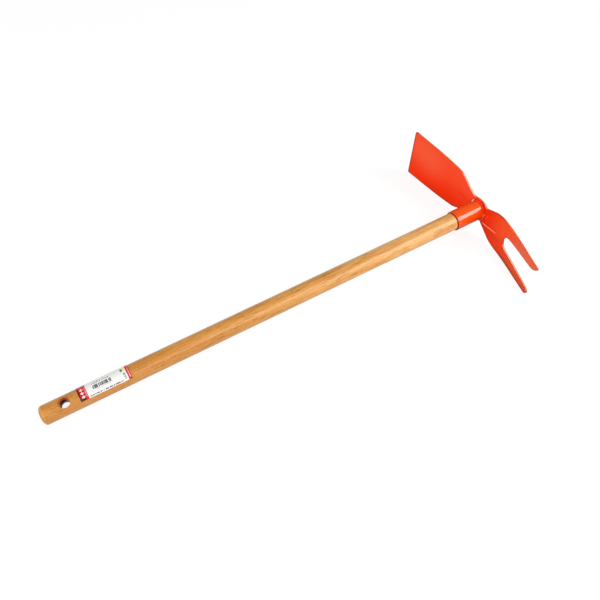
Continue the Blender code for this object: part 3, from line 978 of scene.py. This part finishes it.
def woodMaterial():
    fixed = {"Coat Roughness": 0.26, "Specular IOR Level": 0.25}
    material, start, shader = newMaterial("varnishedBeech", fixed)
    place = toolPlace(start)
    x = place.axis("X")
    noises, masks = {}, {}
    for name, (along, across, detail, low, high) in wood["noises"].items():
        noises[name] = grainNoise(place, along, across, detail)
        masks[name] = noises[name].ramp(low, high)
    # the long thin dark dashes come in places only
    masks["dashes"] = masks["dashes"] * masks["places"]
    # growth rings far from the pith, so that they run as long wavering lines along the handle
    fromPith = place.vector("SUBTRACT", wood["pith"]).vector("MULTIPLY", (0, 1, 1))
    ringCount = fromPith.vector("LENGTH", out="Value") / wood["ringSpacing"]
    ringCount = (ringCount + grainNoise(place, 0.006, 0.05) * 2.2) * (2 * math.pi)
    masks["rings"] = (ringCount.sine() * 0.5 + 0.5) ** 2
    # beech's short rays: small dark flecks along the grain
    inputs = {"Vector": stretched(place, 0.34, 1.5), "Scale": 1.0, "Randomness": 1.0}
    cells = place.node("ShaderNodeTexVoronoi", inputs, "Distance", feature="F1")
    chosen = cells.node("ShaderNodeSeparateColor", {"Color": cells.output("Color")})
    masks["flecks"] = (1 - cells.ramp(0.12, 0.28)) * chosen.ramp(0.35, 0.9)
    # browner at the butt, paler at the head
    look = start.mixed(x.ramp(buttX, buttX + wood["middleAt"]), wood["butt"], wood["middle"])
    look = look.blend(x.ramp(buttX + wood["headFrom"], mouthX - wood["headAt"]), wood["head"])
    for name, strength, colour in wood["layers"]:
        look = look.blend(masks[name] * strength, wood[colour])
    # the hang hole: an orange end-grain ring at the flared mouth, painted light above, painted shade in
    # the bore
    lean = math.radians(handle["holeLean"])
    boreAxis = (0, -math.sin(lean), math.cos(lean))
    holePlace = place.vector("SUBTRACT", (buttX + handle["holeFromButt"], 0, 0))
    fromBore = holePlace.vector("CROSS_PRODUCT", boreAxis).vector("LENGTH", out="Value")
    height = holePlace.vector("DOT_PRODUCT", boreAxis, out="Value")
    acrossBore = holePlace.vector("DOT_PRODUCT", (0, math.cos(lean), math.sin(lean)), out="Value")
    mouthRing = 1 - fromBore.ramp(*(handle["holeRadius"] + reach for reach in wood["ringReach"]))
    upperSide = acrossBore.ramp(*wood["upperSide"])
    depth = 1 - abs(height).ramp(*wood["boreShadeDepth"])
    towardsHead = holePlace.axis("X").ramp(*wood["headSide"])
    bore = mouthRing * depth * (0.5 + upperSide * 0.5) * (1 - towardsHead * 0.7)
    look = look.blend(mouthRing * (0.3 + upperSide * 0.45), wood["mouthRing"])
    look = look.blend(mouthRing * upperSide * 0.8, wood["boreTopLit"])
    look = look.blend(bore, wood["bore"])
    # the butt's end grain is darker, partly its own colour and partly painted shade, and painted shade
    # darkens the wood where it enters the tube
    dome = 1 - x.ramp(*(buttX + reach for reach in wood["endGrainAndShadeReach"]))
    look = look.blend(dome * 0.9, wood["endGrainAndShade"])
    look = look.blend(x.ramp(*(mouthX - reach for reach in wood["mouthShadeReach"])) * 0.85, wood["mouthShade"])
    relief = noises["fibres"] * 0.6 + noises["fineFibres"] * 0.4 + noises["ticks"]
    relief = relief - masks["flecks"] * 0.5 - masks["dashes"] * 0.3
    rough = 0.40 + noises["fibres"] * 0.14 + bore * 0.4
    plug(shader, {"Base Color": look, "Roughness": rough, "Coat Weight": (1 - bore) * (1 - dome) * 0.5,
                  "Normal": bumped(start, relief, 0.05)})
    return material


def handleTree():
    sizes = handleLengths + ("domePower", "crowding")
    given = newTree("turnedHandle", {"Float": sizes, "Int": ("rings", "sides"), "Material": ("material",)})
    exposed, seatLength, headRadius, buttRadius, seatRadius, dome, power, crowding = (
        given.output(name) for name in sizes)
    line = given.node("GeometryNodeCurvePrimitiveLine", {"End": (1.0, 0.0, 0.0)})
    line = given.node("GeometryNodeResampleCurve", {"Curve": line, "Count": given.output("rings")})
    way = given.node("GeometryNodeSplineParameter", out="Factor")
    spot = given.node("ShaderNodeCombineXYZ", {"X": (exposed + seatLength) * way ** crowding})
    line = given.node("GeometryNodeSetPosition", {"Geometry": line, "Position": spot})
    fromButt = given.node("GeometryNodeInputPosition").axis("X")
    taper = buttRadius + (headRadius - buttRadius) * (fromButt / exposed)
    # the small number keeps the first ring from closing to a point
    depth = (fromButt + 0.00001) / dome
    blunt = 1 - (1 - depth.sum("MINIMUM", depth, 1.0)) ** power
    turnedRadius = taper * blunt ** (1 / power)
    seated = fromButt > exposed
    radius = turnedRadius * (1 - seated) + seatRadius * seated
    sides = {"Resolution": given.output("sides"), "Radius": 1.0}
    ring = given.node("GeometryNodeCurvePrimitiveCircle", sides)
    tubing = {"Curve": line, "Profile Curve": ring, "Scale": radius, "Fill Caps": True}
    skin = given.node("GeometryNodeCurveToMesh", tubing)
    skin = given.node("GeometryNodeSetShadeSmooth", {"Geometry": skin})
    return endTree(given, skin)


def holeCutter():
    # A bore whose mouths flare like a trumpet
    bore = handle["holeRadius"]
    angles = np.radians(np.linspace(0, 78, 13))

    def flared(width, start, depth):
        return [(start + depth * math.sin(a), bore + width * (1 - math.cos(a))) for a in angles]

    back = flared(*handle["holeBack"])
    profile = [(-x, radius) for x, radius in reversed(back)] + flared(*handle["holeMouth"])
    profile = [(profile[0][0], 0)] + profile + [(profile[-1][0], 0)]
    cutter = turned("holeCutter", profile, sides=64)
    for vert in cutter.data.vertices:
        out = math.hypot(vert.co.y, vert.co.z)
        widening = out - bore * mm
        if vert.co.x > 0 and widening > 0:
            lowSide = (0.5 - 0.5 * vert.co.y / out) ** 2
            kept = (out - widening * lowSide * (1 - handle["mouthLowSide"])) / out
            vert.co.yz = vert.co.yz * kept
    lean = Matrix.Rotation(math.radians(handle["holeLean"]), 4, "X")
    upright = lean @ Matrix.Rotation(-math.pi / 2, 4, "Y")
    cutter.data.transform(Matrix.Translation(((buttX + handle["holeFromButt"]) * mm, 0, 0)) @ upright)
    return cutter


def makeHandle(material):
    piece = meshPiece("turnedShaft", [(0, 0, 0)], [])
    lengths = {name: handle[name] * mm for name in handleLengths}
    shapedBy(piece, handleTree(), {**handle, **lengths, "material": material})
    piece.data.transform(Matrix.Translation((buttX * mm, 0, 0)))
    facedOutwards(piece)
    cutter = holeCutter()
    addModifier(piece, "hang hole", "BOOLEAN", operation="DIFFERENCE", solver="EXACT", object=cutter)
    madePlain(piece, sharpAngle=32)
    bpy.data.objects.remove(cutter)
    laidDown(piece, material, "handle")


makeHandle(woodMaterial())


# Label: thin coated paper wrapped round the handle, printed with plain blocks and bars

label = {
    "fromButt": 45.5,
    "length": 60.5,
    "width": 32.0,
    "thickness": 0.2,
    "lift": 0.12,
    "startAngle": 53,
    # the corners' lift: the shares of the half length and half width where it starts, and how steep it is
    "cornerFrom": (0.9, 0.85),
    "cornerLift": 23.1,
    "white": (246, 246, 243),
    "red": (216, 16, 28),
    "maroon": (84, 10, 16),
    "shade": (46, 26, 10),
    "mark": (250, 226, 228),
    "ink": (52, 54, 56),
    "green": (30, 140, 50),
    "yellow": (248, 234, 110),
    # What is printed, in millimetres from the label's butt end and its lower edge: from, to, bottom, top,
    # colour and strength. Bars also have the way that they follow each other, how many a millimetre, the
    # share that is printed and where their pattern starts.
    "redField": (0, 9.7, 0, 40),
    "prints": (
        (0, 1.6, 0, 40, "maroon", 1.0),
        (1.6, 6.8, 0, 2.6, "shade", 1.0),
        # ticks by the diamonds
        (7.7, 8.9, 2.6, 14.5, "mark", 0.7, "v", 1.1, 0.62, 3.0),
        # the bar block in the middle, rows of ticks round it and one along the lower edge
        (17.2, 38.8, 7.3, 11.8, "ink", 0.85, "u", 3.4, 0.72, 71.0),
        (19.5, 37.5, 6.0, 6.6, "ink", 0.5, "u", 1.3, 0.6, 17.0),
        (17.0, 35.5, 13.7, 14.6, "ink", 0.75, "u", 1.1, 0.65, 23.0),
        (35.5, 37.2, 13.5, 14.7, "ink", 0.8),
        (18.0, 33.0, 16.0, 16.8, "ink", 0.6, "u", 1.2, 0.55, 31.0),
        (15.2, 16.2, 5.3, 6.3, "ink", 0.5),
        (11.4, 50.5, 1.1, 2.4, "ink", 0.95, "u", 1.3, 0.74, 41.0),
        # two colour squares above a column of ticks
        (51.0, 53.3, 12.0, 16.6, "green", 1.0),
        (53.3, 55.6, 12.6, 17.4, "yellow", 1.0),
        (52.9, 55.2, 2.3, 9.6, "ink", 0.7, "v", 1.3, 0.66, 57.0),
        # the red band at the head's end with a pale line in it
        (56.9, 62, 0, 40, "red", 1.0),
        (58.9, 59.6, 1.8, 16.5, "mark", 0.8, "v", 0.9, 0.8, 61.0),
    ),
    # the column of diamonds: where it is, its middle, and how narrow, close together and large they are
    "diamonds": {"block": (2, 7.4, 2.6, 15.6), "middle": 4.5, "narrow": 0.40, "close": 0.48, "size": 0.86},
}


def labelRadius(x):
    share = (x - buttX) / handle["exposed"]
    return handle["buttRadius"] + share * (handle["headRadius"] - handle["buttRadius"])


def labelMaterial():
    material, start, shader = newMaterial("printedPaper", {"Coat Weight": 0.3, "Coat Roughness": 0.2})
    paper = start.node("ShaderNodeUVMap", uv_map="print")
    # u runs from the butt end to the head end, v from the lower edge round to the upper, in millimetres
    u, v = paper.axis("X") * label["length"], paper.axis("Y") * label["width"]

    def block(low, high, bottom, top):
        return (u > low) * (u < high) * (v > bottom) * (v < top)

    def bars(way, count, fill, seed):
        # bars of uneven width
        cell = {"u": u, "v": v}[way] * count
        chance = {"W": cell.sum("FLOOR", cell) + seed}
        return start.node("ShaderNodeTexWhiteNoise", chance, "Value", noise_dimensions="1D") < fill

    look = start.mixed(block(*label["redField"]), label["white"], label["red"])
    for low, high, bottom, top, colour, strength, *pattern in label["prints"]:
        mask = block(low, high, bottom, top) * strength
        if pattern:
            mask = mask * bars(*pattern)
        look = look.blend(mask, label[colour])
    diamonds = label["diamonds"]
    row = v * diamonds["close"]
    fromMiddle = abs(u - diamonds["middle"]) * diamonds["narrow"] + row.sum("PINGPONG", row, 1.0)
    shape = fromMiddle < diamonds["size"]
    look = look.blend(shape * block(*diamonds["block"]), label["mark"])
    fibre = evenNoise(toolPlace(start), 1.2)
    look = look.blend(fibre.ramp(0.4, 0.8) * 0.03, label["ink"])
    plug(shader, {"Base Color": look, "Roughness": 0.34 + fibre * 0.12,
                  "Normal": bumped(start, fibre, 0.01)})
    return material


def makeLabel(material):
    across, around = 40, 36
    start = buttX + label["fromButt"]
    wrap = label["width"] / labelRadius(start + label["length"] / 2)
    alongFrom, roundFrom = label["cornerFrom"]
    points, prints, faces = [], [], []
    for i in range(across + 1):
        for j in range(around + 1):
            x = start + label["length"] * i / across
            angle = math.radians(label["startAngle"]) - wrap * j / around
            # the corners have lifted a little
            fromEnd, fromSide = abs(2 * i / across - 1) - alongFrom, abs(2 * j / around - 1) - roundFrom
            corner = max(fromEnd, 0) * max(fromSide, 0)
            radius = labelRadius(x) + label["lift"] + corner * label["cornerLift"]
            points.append((x, -radius * math.sin(angle), radius * math.cos(angle)))
            prints.append((i / across, j / around))
    for i in range(across):
        for j in range(around):
            k = i * (around + 1) + j
            faces.append([k, k + around + 1, k + around + 2, k + 1])
    piece = meshPiece("stickyLabel", points, faces)
    layer = piece.data.uv_layers.new(name="print")
    for loop in piece.data.loops:
        layer.data[loop.index].uv = prints[loop.vertex_index]
    facing = piece.data.polygons[0]
    outward = facing.normal.y * facing.center.y + facing.normal.z * facing.center.z > 0
    offset = 1.0 if outward else -1.0
    addModifier(piece, "paper", "SOLIDIFY", thickness=label["thickness"] * mm, offset=offset)
    madePlain(piece, sharpAngle=60)
    laidDown(piece, material, "label")


makeLabel(labelMaterial())


# Socket nail: a zinc-plated nail with a crowned, cross-hatched head, on the side that the tool lies on

nail = {
    "fromEnd": 20.0,
    "headRadius": 3.0,
    "headThickness": 1.0,
    "shankRadius": 1.2,
    "length": 15.0,
    # how far the head stands off the tube, the share of its thickness that is crowned, and how long the
    # point is
    "standOff": 0.15,
    "crown": 0.55,
    "point": 3,
    "bright": (184, 182, 178),
    "dull": (120, 116, 110),
    "hatchScale": 0.9,
    "hatchTurn": 45,
}


def nailMaterial():
    material, start, shader = newMaterial("zincPlate", {"Metallic": 1.0})
    place = toolPlace(start)
    inputs = {"Vector": place, "Rotation": (0, 0, math.radians(nail["hatchTurn"]))}
    turnedPlace = place.node("ShaderNodeMapping", inputs, vector_type="POINT")
    inputs = {"Vector": turnedPlace, "Scale": nail["hatchScale"]}
    hatch = [start.node("ShaderNodeTexWave", inputs, "Fac", bands_direction=way) for way in "XY"]
    spots = evenNoise(place, 2.5)
    look = start.mixed(spots.ramp(0.35, 0.7) * 0.5, nail["bright"], nail["dull"])
    relief = hatch[0] * hatch[1] * 0.7 + spots * 0.3
    plug(shader, {"Base Color": look, "Roughness": 0.32 + spots * 0.25,
                  "Normal": bumped(start, relief, 0.08)})
    return material


def makeNail(material):
    top = tube["radius"] + nail["standOff"]
    head, thick, shank = nail["headRadius"], nail["headThickness"], nail["shankRadius"]
    tip = top - nail["length"]
    angles = np.radians(range(10, 91, 10))
    crown = [(top + thick * (1 - nail["crown"] * (1 - math.cos(a))), head * math.sin(a)) for a in angles]
    profile = [(top + thick, 0)] + crown + [(top + 0.2, head), (top, head - 0.2)]
    profile += [(top, shank + 0.25), (top - 0.25, shank)]
    profile += [(tip + nail["point"], shank), (tip + 0.1, 0.15), (tip, 0)]
    piece = turned("pinNail", profile, sides=40)
    # the nail's own x becomes the way out of the tube on the lower side
    upright = Matrix.Rotation(math.pi / 2, 4, "Y")
    piece.data.transform(Matrix.Translation((-nail["fromEnd"] * mm, 0, 0)) @ upright)
    piece.data.set_sharp_from_angle(angle=math.radians(50))
    laidDown(piece, material, "socket_nail")


makeNail(nailMaterial())


# Studio: pale floor and surround, a soft key lamp past the head, a long weak one beside the handle and a
# fill from the butt's end. Lengths are metres here.

studio = {
    "floorSize": 14.0,
    "floorShare": 0.18,
    "floorGlow": 0.87,
    "floorColour": 0.50,
    # how far out the floor turns plain white
    "farFloor": (1.3, 2.8),
    "surround": ((0.0, 0.98), (0.10, 0.96), (0.3, 0.50), (0.5, 0.22), (1.0, 0.18)),
    # each lamp: the point on the handle's axis that it faces, how far it leans towards the head and how
    # high it stands round the handle (degrees), its distance, its size along and across, and its radiance;
    # a matt lamp doesn't show in glossy surfaces
    "lamps": {
        "key": {"faces": 0.0, "lean": 34, "height": 50.6, "distance": 2.0, "size": (0.8, 1.36),
                "radiance": 7.3},
        "handleStrip": {"faces": -0.33, "lean": 12, "height": 50.6, "distance": 1.25, "size": (0.9, 0.5),
                        "radiance": 2.9},
        "fill": {"faces": 0.0, "lean": -72, "height": 90, "distance": 2.6, "size": (1.8, 1.3),
                 "radiance": 6.4, "matt": True},
    },
}


def makeFloor():
    material, start = newMaterial("paleFloor", {})[:2]
    grey = (studio["floorColour"],) * 3 + (1.0,)
    thin = (studio["floorShare"],) * 3 + (1.0,)
    plain = start.node("ShaderNodeBsdfDiffuse", {"Color": grey})
    shown = start.node("ShaderNodeBsdfDiffuse", {"Color": thin})
    glow = start.node("ShaderNodeEmission", {"Strength": studio["floorGlow"]})
    lifted = start.node("ShaderNodeAddShader", {0: shown, 1: glow})
    white = start.node("ShaderNodeEmission", {"Strength": 1.0})
    place = start.node("ShaderNodeTexCoord", out="Object")
    away = place.vector("LENGTH", out="Value").ramp(*studio["farFloor"])
    lifted = start.node("ShaderNodeMixShader", {0: away, 1: lifted, 2: white})
    ray = start.node("ShaderNodeLightPath", out="Is Camera Ray")
    seen = ray.larger(ray.output("Is Glossy Ray")).larger(ray.output("Is Transmission Ray"))
    mixed = start.node("ShaderNodeMixShader", {0: seen, 1: plain, 2: lifted})
    start.tree.links.new(mixed.socket, start.tree.nodes["Material Output"].inputs["Surface"])
    half = studio["floorSize"] / 2 / mm
    corners = [(-half, -half, 0), (half, -half, 0), (half, half, 0), (-half, half, 0)]
    floor = meshPiece("floor", corners, [[0, 1, 2, 3]])
    floor.data.materials.append(material)


def makeSurround():
    world = bpy.data.worlds.new("paleSurround")
    bpy.context.scene.world = world
    world.use_nodes = True
    start = Wire(world.node_tree)
    height = start.node("ShaderNodeTexCoord", out="Generated").axis("Z")
    stops = [(position, (level, level, level, 1.0)) for position, level in studio["surround"]]
    shade = start.node("ShaderNodeValToRGB", {"Fac": height}, stops=stops)
    background = world.node_tree.nodes["Background"]
    world.node_tree.links.new(shade.socket, background.inputs["Color"])


def addLamp(name, setting):
    lamp = bpy.data.lights.new(name, "AREA")
    lamp.shape = "RECTANGLE"
    lamp.size, lamp.size_y = setting["size"]
    lamp.energy = setting["radiance"] * math.pi * lamp.size * lamp.size_y
    lean, height = math.radians(setting["lean"]), math.radians(setting["height"])
    # the lamp's own y runs round the handle and its z points away from what it lights
    away = Vector((math.sin(lean), -math.cos(lean) * math.cos(height), math.cos(lean) * math.sin(height)))
    roundHandle = Vector((0, math.sin(height), math.cos(height)))
    turn = Matrix((roundHandle.cross(away), roundHandle, away)).transposed().to_4x4()
    middle = Vector((setting["faces"], 0, 0)) + away * setting["distance"]
    stand = newObject(name, lamp)
    stand.matrix_world = toolToFrame @ Matrix.Translation(middle) @ turn
    stand.visible_camera = False
    stand.visible_glossy = not setting.get("matt", False)


makeFloor()
makeSurround()
for lampName, lampSetting in studio["lamps"].items():
    addLamp(lampName, lampSetting)


# Camera: its place and the point it looks at are in the tool's frame.

camera = {
    "place": (-538.5, -411.1, 695.1),
    "target": (-285.8, -8.0, 0.0),
    "roll": 2.16,
    "lens": 40.8,
    "sensor": 36.0,
}


def addCamera():
    data = bpy.data.cameras.new("photoCamera")
    data.lens = camera["lens"]
    data.sensor_width = camera["sensor"]
    data.clip_start, data.clip_end = 0.05, 50.0
    eye = newObject("photoCamera", data)
    place = toolToFrame @ (Vector(camera["place"]) * mm)
    target = toolToFrame @ (Vector(camera["target"]) * mm)
    level = (target - place).to_track_quat("-Z", "Y")
    eye.location = place
    eye.rotation_mode = "QUATERNION"
    eye.rotation_quaternion = level @ Quaternion((0, 0, 1), math.radians(camera["roll"]))
    bpy.context.scene.camera = eye


addCamera()
bpy.context.scene.view_settings.view_transform = "Standard"
print("camera, lamps and floor set")
